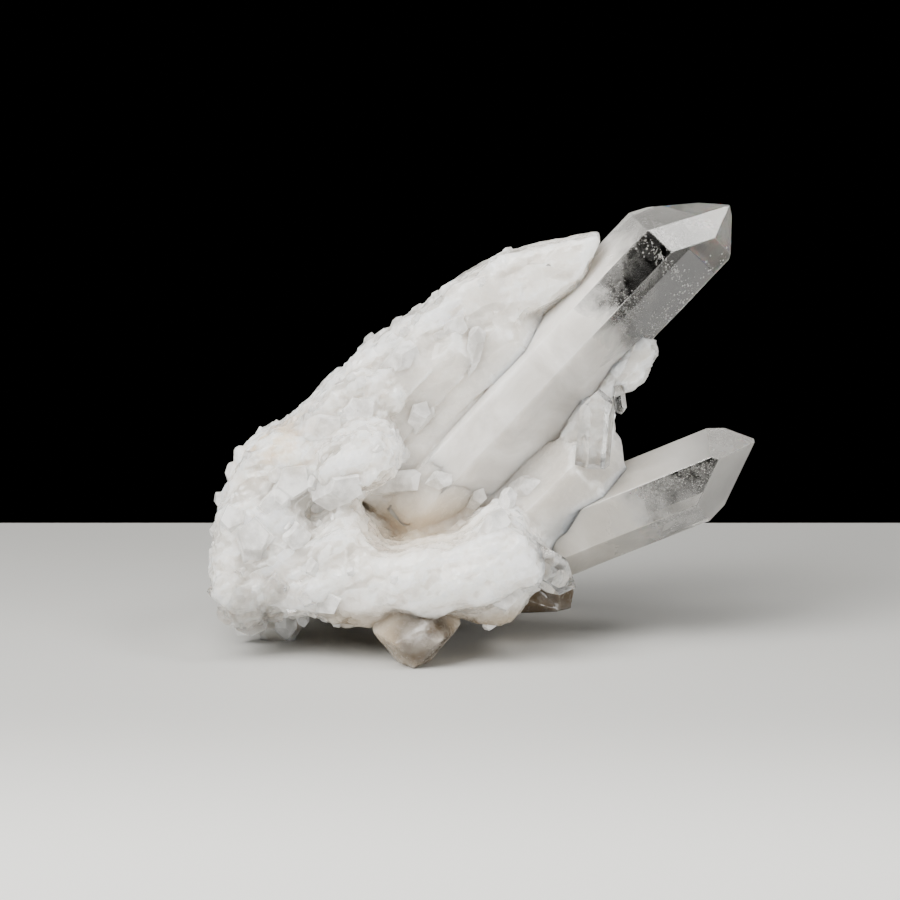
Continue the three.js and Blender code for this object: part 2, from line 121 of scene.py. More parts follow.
def prism_planes(at, axis, turn, sides, caps, back, grow=0.0):
    """Planes (n, d) in metres of a quartz prism, moved out by grow millimetres."""
    front = -SIGHT
    front = (front - axis * front.dot(axis)).normalized()
    across = axis.cross(front)
    base = Vector(at)
    planes = []
    for k in range(6):
        angle = math.radians(turn + 60 * k)
        side = front * math.cos(angle) + across * math.sin(angle)
        cap = side * math.sin(RHOMB_TILT) + axis * math.cos(RHOMB_TILT)
        planes.append((side, side.dot(base) + sides[k]))
        planes.append((cap, cap.dot(base) + caps[k]))
    planes.append((-axis, -axis.dot(base) + back))
    return [(n, (d + grow) * MM - n.dot(MIDDLE)) for n, d in planes]


def small_planes(tip, rise, lean, turn, width, length, seed, three=False, grow=0.0, axis=None):
    """Planes of a small crystal given by its tip, as the solids make it."""
    roll = dice(seed * 7919 + 13)
    sides, caps = [], []
    for k in range(6):
        sides.append((width / 2) * (0.88 + 0.24 * roll()))
        small = 0.7 if three else 0.16
        caps.append(width * (0.02 if k % 2 == 0 else small) * (0.4 + roll()))
    return prism_planes(tip, axis or heading(rise, lean), turn, sides, caps, length, grow)


def solid_corners(planes):
    """Corner points of the solid bounded by planes n.x <= d."""
    points = []
    for i in range(len(planes)):
        for j in range(i + 1, len(planes)):
            for k in range(j + 1, len(planes)):
                a = planes[j][0].cross(planes[k][0])
                det = planes[i][0].dot(a)
                if abs(det) < 1e-6:
                    continue
                b = planes[k][0].cross(planes[i][0])
                c = planes[i][0].cross(planes[j][0])
                p = (a * planes[i][1] + b * planes[j][1] + c * planes[k][1]) / det
                if all(n.dot(p) <= d + 1e-7 for n, d in planes):
                    if all((q - p).length > 2e-5 for q in points):
                        points.append(p)
    return points


def hull_mesh(bm, points):
    """Adds the hull of points to bm with flat polygon faces."""
    made = bmesh.new()
    verts = [made.verts.new(p) for p in points]
    bmesh.ops.convex_hull(made, input=verts)
    loose = [v for v in made.verts if not v.link_faces]
    bmesh.ops.delete(made, geom=loose, context="VERTS")
    bmesh.ops.dissolve_limit(made, angle_limit=math.radians(0.6), verts=made.verts, edges=made.edges)
    bmesh.ops.recalc_face_normals(made, faces=made.faces)
    scratch = bpy.data.meshes.new("scratch")
    made.to_mesh(scratch)
    made.free()
    bm.from_mesh(scratch)
    bpy.data.meshes.remove(scratch)


def link(name, bm, smooth=False):
    """A new object from bm, linked into the scene."""
    mesh = bpy.data.meshes.new(name)
    bm.to_mesh(mesh)
    bm.free()
    obj = bpy.data.objects.new(name, mesh)
    bpy.context.scene.collection.objects.link(obj)
    for face in mesh.polygons:
        face.use_smooth = smooth
    return obj


def solid(name, planes):
    bm = bmesh.new()
    hull_mesh(bm, solid_corners(planes))
    return link(name, bm)


def cut_out(obj, cutter):
    """Takes the cutter's solid out of an object's mesh and removes the cutter."""
    mod = obj.modifiers.new("cut", "BOOLEAN")
    mod.operation = "DIFFERENCE"
    mod.solver = "MANIFOLD"
    mod.object = cutter
    depsgraph = bpy.context.evaluated_depsgraph_get()
    mesh = bpy.data.meshes.new_from_object(obj.evaluated_get(depsgraph))
    obj.modifiers.clear()
    obj.data = mesh
    bpy.data.objects.remove(cutter)


# Materials
class Nodes:
    """Short helpers round one material's node tree. Places are in object coordinates, in metres."""

    def __init__(self, name):
        self.mat = bpy.data.materials.new(name)
        self.mat.use_nodes = True
        self.tree = self.mat.node_tree
        self.shader = self.tree.nodes["Principled BSDF"]
        self.coords = self.tree.nodes.new("ShaderNodeTexCoord").outputs["Object"]

    def add(self, kind, values=None, **settings):
        node = self.tree.nodes.new(kind)
        for key, value in settings.items():
            setattr(node, key, value)
        for key, value in (values or {}).items():
            if isinstance(value, bpy.types.NodeSocket):
                self.tree.links.new(value, node.inputs[key])
            else:
                node.inputs[key].default_value = value
        return node

    def math(self, operation, a, b=0.0):
        return self.add("ShaderNodeMath", {0: a, 1: b}, operation=operation).outputs[0]

    def vector(self, operation, a, b=ORIGIN, output="Vector"):
        return self.add("ShaderNodeVectorMath", {0: a, 1: b}, operation=operation).outputs[output]

    def noise(self, scale, detail=3.0, rough=0.5, distortion=0.0, coords=None):
        values = {"Vector": coords or self.coords, "Scale": scale, "Detail": detail,
                  "Roughness": rough, "Distortion": distortion}
        return self.add("ShaderNodeTexNoise", values).outputs["Fac"]

    def ramp(self, factor, stops):
        node = self.add("ShaderNodeValToRGB", {"Fac": factor})
        ramp = node.color_ramp
        while len(ramp.elements) < len(stops):
            ramp.elements.new(0.5)
        for element, (place, colour) in zip(ramp.elements, stops):
            element.position = place
            element.color = (*colour, 1.0)
        return node.outputs["Color"]

    def span(self, value, low, high, to_low=0.0, to_high=1.0):
        """A smooth step from to_low at low to to_high at high."""
        values = {"Value": value, 1: low, 2: high, 3: to_low, 4: to_high}
        return self.add("ShaderNodeMapRange", values, interpolation_type="SMOOTHSTEP").outputs[0]

    def mix(self, factor, a, b, kind="MIX"):
        node = self.add("ShaderNodeMix", data_type="RGBA", blend_type=kind)
        for socket, value in ((0, factor), (6, a), (7, b)):
            if isinstance(value, bpy.types.NodeSocket):
                self.tree.links.new(value, node.inputs[socket])
            else:
                node.inputs[socket].default_value = value
        return node.outputs[2]

    def along(self, direction, origin=ORIGIN):
        """Distance in metres along a direction from an origin."""
        moved = self.vector("SUBTRACT", self.coords, tuple(origin))
        return self.vector("DOT_PRODUCT", moved, tuple(direction), output="Value")

    def far(self, centre, radius, stretch=(1, 1, 1)):
        """1 at a centre, falling to 0 at a radius."""
        moved = self.vector("SUBTRACT", self.coords, tuple(centre))
        scaled = self.vector("MULTIPLY", moved, tuple(1 / s for s in stretch))
        return self.span(self.vector("LENGTH", scaled, output="Value"), 0.0, radius, 1.0, 0.0)

    def facing(self, normal):
        """1 on the flat face with that normal, 0 elsewhere."""
        face = self.add("ShaderNodeNewGeometry").outputs["True Normal"]
        return self.math("GREATER_THAN", self.vector("DOT_PRODUCT", face, tuple(normal), output="Value"),
                         0.995)

    def choose(self, mask, a, b):
        """a where mask is 0, b where it is 1."""
        return self.add("ShaderNodeMix", {0: mask, 2: a, 3: b}, data_type="FLOAT").outputs[0]

    def attribute(self, name):
        return self.add("ShaderNodeAttribute", attribute_name=name).outputs["Fac"]

    def crystals(self, long_way, side, up, size):
        """Cells drawn out along a direction: a grey for each, its edge, and a vector for each."""
        axes = [self.along(way) for way in (long_way, side, up)]
        drawn = self.add("ShaderNodeCombineXYZ", {0: self.math("MULTIPLY", axes[0], 0.4), 1: axes[1],
                                                  2: axes[2]}).outputs[0]
        wander = self.add("ShaderNodeTexNoise", {"Vector": drawn, "Scale": 130.0}).outputs["Color"]
        place = self.vector("ADD", drawn, self.vector("MULTIPLY", wander, (0.004,) * 3))
        cell = self.add("ShaderNodeTexVoronoi", {"Vector": place, "Scale": 1 / size})
        edge = self.add("ShaderNodeTexVoronoi", {"Vector": place, "Scale": 1 / size},
                        feature="DISTANCE_TO_EDGE").outputs["Distance"]
        grey = self.add("ShaderNodeSeparateColor", {0: cell.outputs["Color"]}).outputs[0]
        return grey, edge, cell.outputs["Color"]

    def set(self, **sockets):
        """Links or sets the shader's own sockets, with _ for a space in a name."""
        for name, value in sockets.items():
            key = name.replace("_", " ")
            if isinstance(value, bpy.types.NodeSocket):
                self.tree.links.new(value, self.shader.inputs[key])
            else:
                self.shader.inputs[key].default_value = value

    def milk(self):
        """The depth and spread of light in milky stone."""
        self.set(Subsurface_Scale=MILK_DEPTH)
        self.shader.inputs["Subsurface Radius"].default_value = MILK_SPREAD

    def bump(self, height, strength, distance):
        node = self.add("ShaderNodeBump", {"Height": height, "Strength": strength,
                                           "Distance": distance})
        self.tree.links.new(node.outputs[0], self.shader.inputs["Normal"])
        return node


def spot(x, y, z):
    """A place given in drawing millimetres, in the row frame in metres."""
    return Vector((x, y, z)) * MM - MIDDLE


# Greys of smooth and broken milky stone against a wandering tone, a peach stain, tan and brown that are
# part stain and part painted shade near the ground, and painted light: white ridge highlight, grey valley
# and waist shade, tan hollow shade
SMOOTH_MILK = [(0.3, (0.53, 0.505, 0.47)), (0.5, (0.67, 0.645, 0.61)), (0.68, (0.82, 0.80, 0.77))]
BROKEN_MILK = [(0.25, (0.60, 0.58, 0.55)), (0.42, (0.78, 0.765, 0.745)),
               (0.55, (0.93, 0.92, 0.91)), (0.72, (0.985, 0.98, 0.975))]
VEIN_WHITE = (1.0, 1.0, 0.995, 1)
RIDGE_PAINTED_HIGHLIGHT = (0.97, 0.97, 0.965, 1)
VALLEY_PAINTED_SHADE = (0.58, 0.555, 0.52, 1)
WAIST_PAINTED_SHADE = (0.5, 0.48, 0.45, 1)
WARM_TINT = (1.0, 0.98, 0.945, 1)
PEACH = (0.86, 0.66, 0.45, 1)
HOLLOW_PAINTED_SHADE = (0.66, 0.57, 0.45, 1)
FOOT_TAN = (0.42, 0.35, 0.265, 1)
FOOT_BROWN = (0.07, 0.045, 0.02, 1)
CLEAR_TINT = (0.68, 0.67, 0.65, 1)


def stains_and_hollow_shade(m, base):
    """A peach stain high on the left, and painted shade in tan in the hollow over the arm."""
    peach = m.math("MULTIPLY", m.far(spot(-64, -20, 77), 0.026, (1.3, 1, 0.8)),
                   m.span(m.noise(150, 3), 0.38, 0.6))
    base = m.mix(m.math("MULTIPLY", peach, 0.7), base, PEACH)
    # Painted shade: tan in the hollow over the arm, where shade and warm bounced light fall.
    hollow = m.math("MULTIPLY", m.far(spot(-14, -20, 42), 0.04, (1.0, 1, 0.6)), 0.9)
    return m.mix(hollow, base, HOLLOW_PAINTED_SHADE)


def foot_stain_and_shade(m, base):
    """Tan near the ground from the front foot to the right, browner on that foot and at the rear: part real
    stain and part painted shade low down.
    """
    x_axis, y_axis, z_axis = (m.along(way) for way in (X_WAY, Y_WAY, Z_WAY))
    # Near the ground at the front and at the rear: real stain and painted shade together.
    front = m.math("MULTIPLY", m.span(z_axis, 0.026, 0.015), m.span(x_axis, -0.065, -0.05))
    rear = m.math("MULTIPLY", m.span(x_axis, 0.010, 0.018), m.span(y_axis, 0.012, 0.022))
    low = m.math("MAXIMUM", front, m.math("MULTIPLY", rear, m.span(z_axis, 0.040, 0.022)))
    # Darkest brown on the front foot: real stain and painted shade on the foot.
    brown = m.math("MULTIPLY", m.far(spot(-8, -52, 12), 0.018), 2.0)
    brown = m.math("MINIMUM", m.math("MAXIMUM", brown, m.math("MULTIPLY", rear, 0.85)), 1.0)
    tan = m.mix(brown, FOOT_TAN, FOOT_BROWN)
    return m.mix(m.math("MULTIPLY", low, m.span(m.noise(60, 3), 0.3, 0.6, 0.7, 1.0)), base, tan)


def broken_white(m, cloud, cells, edge):
    """The colour of broken stone: a grey for each small crystal, plainer on the arm, with white veins."""
    arm = m.far(ARM, 0.042, (1.6, 1, 1))
    mixed = m.math("ADD", m.math("MULTIPLY", m.attribute("tone"), 0.35), m.math("MULTIPLY", cloud, 0.3))
    mixed = m.math("ADD", mixed, m.math("MULTIPLY", cells, m.span(arm, 0, 0.6, 0.42, 0.08)))
    mixed = m.math("ADD", mixed, m.span(arm, 0, 0.6, -0.03, 0.17))
    veins = m.math("MULTIPLY", m.span(edge, 0.0, 0.09, 0.7, 0.0), m.span(m.noise(90, 3), 0.4, 0.6))
    return m.mix(veins, m.ramp(mixed, BROKEN_MILK), VEIN_WHITE)


def milky_material():
    """Milky quartz: greyer on the smooth crystal faces, whiter where it is broken, with a peach stain,
    stain and painted shade near the ground, a painted highlight on ridges, and painted shade in valleys, at
    the waist and in the hollow.
    """
    m = Nodes("milky_quartz")
    cloud = m.noise(48, 5, 0.62, 0.5)
    broken = m.attribute("broken")
    ridge = m.attribute("ridge")
    cells, edge, scatter = m.crystals(FIBRE, FIBRE_SIDE, FIBRE_UP, 0.0065)
    base = m.mix(broken, m.ramp(cloud, SMOOTH_MILK), broken_white(m, cloud, cells, edge))
    # Painted highlight: whiter on convex ridges.
    base = m.mix(m.span(ridge, 0.62, 0.95, 0.0, 0.8), base, RIDGE_PAINTED_HIGHLIGHT)
    # Painted shade: greyer in concave valleys.
    base = m.mix(m.span(ridge, 0.42, 0.1, 0.0, 0.4), base, VALLEY_PAINTED_SHADE)
    # Painted shade: darker on the lower right of the mass at the waist.
    base = m.mix(m.math("MULTIPLY", m.far(spot(44, -15, 62), 0.034), 0.55), base, WAIST_PAINTED_SHADE)
    base = m.mix(1.0, stains_and_hollow_shade(m, base), WARM_TINT, "MULTIPLY")
    m.set(Base_Color=foot_stain_and_shade(m, base), Subsurface_Weight=1.0, IOR=1.5)
    m.milk()
    m.set(Roughness=m.span(m.noise(420, 3, 0.6), 0.3, 0.7, 0.06, 0.36))
    grain = m.math("ADD", m.math("MULTIPLY", m.noise(1100, 3, 0.7), 0.5), m.noise(300, 4, 0.65))
    bump = m.bump(m.math("MULTIPLY", grain, m.span(broken, 0, 1, 0.2, 1.0)), 0.45, 0.0005)
    tilt = m.vector("SUBTRACT", scatter, (0.5, 0.5, 0.5))
    tilt = m.add("ShaderNodeVectorMath", {0: tilt, "Scale": m.math("MULTIPLY", broken, 0.7)},
                 operation="SCALE").outputs[0]
    face = m.add("ShaderNodeNewGeometry").outputs["Normal"]
    m.tree.links.new(m.vector("NORMALIZE", m.vector("ADD", face, tilt)), bump.inputs["Normal"])
    return m.mat


def point_material(name, axis, tip, planes, zones, milkiness, side_haze=None):
    """A long point: milky at the root and clear towards the tip, face by face. A zone gives where
    the face turns from clear to milky and how much that wanders, then the even and the mottled
    haze of its clear part, and its roughness."""
    m = Nodes(name)
    away = m.along(tuple(-axis), tip)
    broken = m.math("SUBTRACT", m.noise(70, 5, 0.65, 0.6), 0.5)
    mottle = m.span(m.noise(170, 6, 0.7, 0.6), 0.38, 0.66)

    def clear_part(start, end, wobble, haze, mottled, rough):
        shifted = m.math("ADD", away, m.math("MULTIPLY", broken, wobble))
        clear = m.span(shifted, start, end, 1.0, 0.0)
        veil = m.math("ADD", m.math("MULTIPLY", mottle, mottled), haze)
        return m.math("MULTIPLY", clear, m.math("SUBTRACT", 1.0, veil)), rough

    clear, rough = clear_part(*zones["rest"])
    for key, zone in zones.items():
        if key == "rest":
            continue
        mask = m.facing(planes[key][0])
        part, face_rough = clear_part(*zone)
        if key == 0 and side_haze:
            slant = m.math("ADD", m.along(*side_haze), m.math("MULTIPLY", broken, 0.02))
            cover = m.span(slant, 0.0, 0.006, 0.0, 0.35)
            cover = m.math("MULTIPLY", cover, m.span(mottle, 0, 1, 0.4, 1.0))
            part = m.math("MULTIPLY", part, m.math("SUBTRACT", 1.0, cover))
        clear = m.choose(mask, clear, part)
        rough = m.choose(mask, rough, face_rough)
    milk = m.mix(1.0, m.ramp(m.noise(48, 5, 0.62, 0.5), SMOOTH_MILK), (*milkiness, 1), "MULTIPLY")
    # Peach stain, and painted shade in the hollow.
    milk = stains_and_hollow_shade(m, milk)
    m.set(Base_Color=m.mix(clear, milk, CLEAR_TINT), Transmission_Weight=clear, IOR=QUARTZ_IOR)
    milky = m.math("SUBTRACT", 1.0, clear)
    m.set(Subsurface_Weight=m.span(milky, 0.6, 1.0))
    m.milk()
    m.set(Roughness=m.math("MAXIMUM", rough, m.math("MULTIPLY", milky, 0.3)))
    steps = m.add("ShaderNodeCombineXYZ", {0: away}).outputs[0]
    height = m.math("ADD", m.math("MULTIPLY", m.noise(500, 3, 0.6), 0.4), m.noise(150, 3, 0.5))
    height = m.math("ADD", height, m.math("MULTIPLY", m.noise(900, 2, coords=steps), 0.25))
    m.bump(m.math("MULTIPLY", height, m.span(milky, 0, 1, 0.12, 1.0)), 0.15, 0.0004)
    return m.mat


def veil_material():
    """Thin cloudy sheets and healed cracks inside the clear stone."""
    m = Nodes("inner_veil")
    wisps = m.span(m.noise(210, 5, 0.7, 1.2), 0.45, 0.72)
    alpha = m.math("MULTIPLY", m.math("MULTIPLY", wisps, m.attribute("fade")), 0.75)
    m.set(Base_Color=(0.86, 0.86, 0.84, 1), Roughness=0.35, Alpha=alpha)
    return m.mat


def inclusion_material():
    """White specks inside the clear stone."""
    m = Nodes("inclusions")
    m.set(Base_Color=(0.93, 0.93, 0.92, 1), Roughness=0.2)
    return m.mat


def druse_material():
    """The small crystals on the mass: half milky, with bright flat faces, clearer low on the left."""
    m = Nodes("small_quartz")
    cloud = m.noise(120, 4, 0.6)
    base = m.ramp(cloud, [(0.3, (0.80, 0.785, 0.765)), (0.6, (0.95, 0.945, 0.935))])
    # Base colour with a peach stain and painted shade in the hollow.
    m.set(Base_Color=stains_and_hollow_shade(m, base), Roughness=0.12, IOR=QUARTZ_IOR)
    glassy = m.math("MULTIPLY", m.far(spot(-72, -34, 12), 0.034), 1.5)
    clear = m.math("ADD", m.span(cloud, 0.35, 0.65, 0.45, 0.1), glassy)
    m.set(Transmission_Weight=m.math("MINIMUM", clear, 0.9))
    return m.mat


def core_material():
    """The milky stone that shows deep inside a clear point."""
    m = Nodes("inner_milk")
    m.set(Base_Color=(0.86, 0.855, 0.84, 1), Subsurface_Weight=1.0, Subsurface_Scale=0.004, Roughness=0.5)
    return m.mat


def clear_material():
    """Small clear crystals, hazier near the ground."""
    m = Nodes("clear_quartz")
    clear = m.math("MULTIPLY", m.span(m.noise(160, 4, 0.6, 0.6), 0.35, 0.6, 0.75, 1.0),
                   m.span(m.along(Z_WAY), 0.03, 0.02, 1.0, 0.6))
    m.set(Base_Color=(0.96, 0.96, 0.955, 1), Transmission_Weight=clear, IOR=QUARTZ_IOR, Roughness=0.03)
    return m.mat


def floor_material():
    """A pale floor with painted light: brighter towards the front and a little darker to the back."""
    m = Nodes("floor")
    back = m.along(Y_WAY)
    # Painted light falloff: the grey is lighter at the front and darker to the back.
    pale = m.math("ADD", m.span(back, 0.2, -0.09, 0.46, 0.56), m.span(back, -0.09, -0.26, 0.0, 0.3))
    grey = m.add("ShaderNodeCombineColor", {0: pale, 1: pale, 2: m.math("MULTIPLY", pale, 0.97)})
    m.set(Base_Color=grey.outputs[0], Roughness=0.75)
    return m.mat


# The milky mass, from the solid less the clear crystals
def build_mass(node):
    """A copy of the solid, which the clear crystals are then cut out of."""
    obj = bpy.data.objects.new("milky_mass", node.data.copy())
    bpy.context.scene.collection.objects.link(obj)
    bm = bmesh.new()
    bm.from_mesh(obj.data)
    bmesh.ops.remove_doubles(bm, verts=bm.verts, dist=2e-6)
    bm.to_mesh(obj.data)
    bm.free()
    obj.data.materials.clear()
    return obj


def mark_flats(bm, layer, least):
    """Sets a face layer to 1 where a flat stretch of faces has at least that area, else 0."""
    bm.faces.ensure_lookup_table()
    seen = set()
    for start in bm.faces:
        if start.index in seen:
            continue
        seen.add(start.index)
        group, queue = [], [start]
        while queue:
            face = queue.pop()
            group.append(face)
            for edge in face.edges:
                for other in edge.link_faces:
                    if other.index not in seen and other.normal.dot(start.normal) > 0.99985:
                        seen.add(other.index)
                        queue.append(other)
        area = sum(face.calc_area() for face in group)
        for face in group:
            face[layer] = 1 if area > least else 0


def divide(bm, layer, rough, flat):
    """Splits long edges until none is longer than its kind of face allows."""
    for _ in range(6):
        edges = [e for e in bm.edges if e.calc_length() > (
            rough if any(f[layer] == 0 for f in e.link_faces) else flat)]
        if not edges:
            break
        bmesh.ops.subdivide_edges(bm, edges=edges, cuts=1)
        bmesh.ops.triangulate(bm, faces=[f for f in bm.faces if len(f.verts) > 3])


# Where the growth starts, the way the fibres of the mass run, and the middle of the smoother arm
ROOT = spot(-34, 8, 36)
FIBRE = heading(24, 6)
FIBRE_SIDE = FIBRE.cross(Vector((0.3, 1, 0.2))).normalized()
FIBRE_UP = FIBRE.cross(FIBRE_SIDE)
ARM = spot(10, -34, 27)
HOLLOW_EDGE = spot(-22, -8, 44)

# Longest edges in metres on rough and on flat parts of the mass, and the least area of a flat part
ROUGH_EDGE = 0.0019
FLAT_EDGE = 0.0028
FLAT_AREA = 6e-5

# How far the mass sinks beside a long point, in metres
LIP_DEPTH = 0.0022


def growth(p, normal, roll):
    """The direction that crystals grow in at a place: out from the root and along the long points."""
    out = (p - ROOT).normalized()
    stray = Vector((roll.uniform(-1, 1), roll.uniform(-1, 1), roll.uniform(-1, 1)))
    return (out * 0.9 + UPPER_AXIS * 0.7 + normal * 0.4 + stray * 0.4).normalized()


def spikes(p, size, seed):
    """Height of crystal ends side by side: flat-sided peaks from 1 down to 0, meeting in valleys."""
    reach = noise.voronoi(p / size + Vector((seed, 0, 0)), distance_metric="MANHATTAN")[0][0]
    return 1.0 - reach


class Surface:
    """The corners of a mesh of triangles as arrays, and the corners next to each."""

    def __init__(self, mesh):
        self.mesh = mesh
        count = len(mesh.vertices)
        self.places = np.empty(count * 3)
        mesh.vertices.foreach_get("co", self.places)
        self.places = self.places.reshape(-1, 3)
        self.edges = np.empty(len(mesh.edges) * 2, dtype=np.int32)
        mesh.edges.foreach_get("vertices", self.edges)
        self.edges = self.edges.reshape(-1, 2)
        self.degree = np.bincount(self.edges.ravel(), minlength=count).astype(float)

    def around(self, values):
        """The mean of the neighbours' values."""
        a, b = self.edges.T
        if values.ndim == 1:
            count = len(self.degree)
            return (np.bincount(a, values[b], count) + np.bincount(b, values[a], count)) / self.degree
        return np.stack([self.around(column) for column in values.T], axis=1)

    def soften(self, weight, rounds):
        """Rounds the shape, each corner moving halfway to its neighbours' mean by its weight."""
        for _ in range(rounds):
            self.places += (self.around(self.places) - self.places) * (0.5 * weight[:, None])
        self.write()

    def write(self):
        self.mesh.vertices.foreach_set("co", self.places.ravel())
        self.mesh.update()

    def normals(self):
        found = np.empty(len(self.places) * 3)
        self.mesh.vertex_normals.foreach_get("vector", found)
        return found.reshape(-1, 3)

    def keep(self, name, values):
        """Stores a value at each corner for the material."""
        layer = self.mesh.attributes.new(name, "FLOAT", "POINT")
        layer.data.foreach_set("value", values.astype(np.float32))


def depth_in(planes, places):
    """How far outside a block of half-spaces each place lies; inside is negative."""
    return np.max([places @ np.array(n) - d for n, d in planes], axis=0)


def relief(p, smooth_arm):
    """Height of the broken surface at a place, and a tone that wanders over it."""
    turned = Vector((p.dot(FIBRE), p.dot(FIBRE_SIDE), p.dot(FIBRE_UP)))
    long_way = Vector((turned.x * 0.42, turned.y, turned.z))
    lift = (spikes(long_way, 0.0075, 3) - 0.35) * 0.0021 * (1 - 0.65 * smooth_arm)
    lift += (spikes(turned, 0.0036, 9) - 0.35) * 0.0008
    fibres = Vector((turned.x * 0.16, turned.y, turned.z))
    high = max(0.0, min(1.0, (p.z - 0.055) / 0.02))
    lift += (0.5 - abs(noise.noise(fibres / 0.003))) * (0.0006 + 0.0011 * high) * (1 - smooth_arm)
    tone = 0.5 + 0.7 * noise.noise(long_way / 0.008) + 0.3 * noise.noise(p / 0.0035)
    return lift, tone


def on_flats(mesh):
    """1 at the corners of flat faces, 0 elsewhere."""
    flat_faces = np.empty(len(mesh.polygons), dtype=np.int32)
    mesh.attributes["flat"].data.foreach_get("value", flat_faces)
    corners = np.empty(len(mesh.loops), dtype=np.int32)
    mesh.loops.foreach_get("vertex_index", corners)
    found = np.zeros(len(mesh.vertices))
    found[corners.reshape(-1, 3)[flat_faces == 1].ravel()] = 1
    return found


def ease_seams(surface, still, weight, roots):
    """Lowers and rounds the mass where the long points come out of it."""
    for axis, base, planes, hidden in roots:
        away = (np.array(base) - surface.places) @ np.array(axis)
        beside = np.abs(depth_in(planes, surface.places)) < 0.001
        lip = np.clip((hidden + 0.016 - away) / 0.014, 0, 1) * beside
        surface.places -= surface.normals() * (np.where(still, 0, lip) * LIP_DEPTH)[:, None]
    surface.write()
    for _ in range(4):
        weight = np.where(still, 0, (weight + surface.around(weight)) / 2)
    surface.soften(np.where(still, 0, np.clip(weight * 1.5, 0.35, 1)), 9)
    seam = np.zeros(len(weight))
    for _, _, planes, _ in roots:
        seam = np.maximum(seam, np.clip(1.5 - np.abs(depth_in(planes, surface.places)) / 0.003, 0, 1))
    surface.soften(np.where(still, 0, seam), 24)
    root_end = np.linalg.norm(surface.places - np.array(HOLLOW_EDGE), axis=1)
    surface.soften(np.where(still, 0, np.clip(2 - root_end / 0.011, 0, 1)), 40)
    return weight


def roughen(mesh, pockets, roots):
    """Breaks the rough faces into small facets and fibres, fading out towards the flat ones. The
    pockets' walls and the resting faces stay as they are."""
    surface = Surface(mesh)
    high = np.clip((surface.places[:, 2] - 0.105) / 0.02, 0, 1)
    weight = np.where(on_flats(mesh) > 0, 0.16 + 0.3 * high, 1.0)
    still = (surface.places[:, 2] < 0.0008)
    for planes in pockets:
        still |= depth_in(planes, surface.places) < 0.00006
    weight = ease_seams(surface, still, weight, roots)
    normals = surface.normals()
    tones = np.empty(len(weight))
    for i, (place, w) in enumerate(zip(surface.places, weight)):
        p = Vector(place)
        off = Vector(((p.x - ARM.x) * 0.55, p.y - ARM.y, p.z - ARM.z)).length
        lift, tones[i] = relief(p, min(1.0, 2 * max(0.0, 1.0 - off / 0.03)))
        surface.places[i] += normals[i] * lift * w
    surface.write()
    # How convex each corner is, kept as the ridge value; the material paints a highlight on ridges and
    # shade in valleys from it.
    bend = ((surface.places - surface.around(surface.places)) * surface.normals()).sum(axis=1)
    bend = (bend + surface.around(bend)) / 2
    surface.keep("ridge", np.clip(0.5 + bend / 0.00035, 0, 1))
    surface.keep("broken", np.clip(1.4 * weight, 0, 1))
    surface.keep("tone", tones)


def sow(name, mesh, count, seed, keep, clear_of):
    """Small crystals half sunk in the rough faces of a mesh, none touching another."""
    roll = random.Random(seed)
    faces = [f for f in mesh.polygons if mesh.attributes["flat"].data[f.index].value == 0]
    bm = bmesh.new()
    made = []
    for face in roll.choices(faces, weights=[f.area for f in faces], k=count):
        centre = face.center.copy()
        width, wish = keep(centre, face.normal, roll)
        axis = growth(centre, face.normal, roll)
        spin, shape, tall = roll.uniform(0, 60), roll.randrange(1 << 20), roll.uniform(0.12, 0.5)
        if roll.random() > wish or axis.dot(face.normal) < 0.1 or centre.z < 0.006:
            continue
        tip = (centre + MIDDLE) / MM + axis * width * tall
        planes = small_planes(tip, 0, 0, spin, width, width * (tall + 0.9), shape, three=shape % 3 > 0,
                              axis=axis)
        corners = solid_corners(planes)
        middle = sum(corners, Vector()) / len(corners)
        reach = max((c - middle).length for c in corners)
        if any((middle - m).length < (reach + r) * 0.82 for m, r in made):
            continue
        if min(depth_in(block, np.array(corners)).min() for block in clear_of) < 0.0004:
            continue
        made.append((middle, reach))
        hull_mesh(bm, corners)
    return link(name, bm)


def on_front(u, v, tree):
    """The place where a line of sight through a point of the front view meets the stone."""
    way = Vector((u - PHOTO_PIXELS / 2, LENS_PIXELS, PHOTO_PIXELS / 2 - v)).normalized()
    way.rotate(Euler((-math.radians(LOOK_DOWN), 0, 0)))
    return tree.ray_cast(spot(*EYE), way)[0]


def place_crystals(name, mesh, table):
    """Single crystals set on the front, from rows such as those of FRONT_CRYSTALS."""
    bm_mass = bmesh.new()
    bm_mass.from_mesh(mesh)
    tree = BVHTree.FromBMesh(bm_mass)
    bm_mass.free()
    bm = bmesh.new()
    for u, v, rise, lean, turn, width, out, deep, seed in table:
        axis = heading(rise, lean)
        foot = on_front(u, v, tree)
        tip = (foot + MIDDLE) / MM + axis * out + SIGHT * width * 0.12
        hull_mesh(bm, solid_corners(small_planes(tip, 0, 0, turn, width, out + deep, seed,
                                                 three=seed % 2 > 0, axis=axis)))
    return link(name, bm)


def druse_place(p, normal, roll):
    """Width in millimetres of a small crystal at a place, and how likely one stands there."""
    d = p + MIDDLE
    left = max(0.0, min(1.0, (-d.x / MM - 30) / 30))
    low = max(0.0, min(1.0, (52 - d.z / MM) / 20))
    arm = 1.0 if d.x > -0.045 and d.y < -0.015 and d.z < 0.05 else 0.0
    width = roll.uniform(2.5, 5.0) + left * roll.uniform(0, 4.0)
    slope = 1.0 if normal.z > 0.2 and d.z > 0.07 and d.x < 0.04 else 0.0
    return width, (0.14 + 0.3 * slope + 0.5 * left * (0.5 + low)) * (1 - 0.85 * arm)


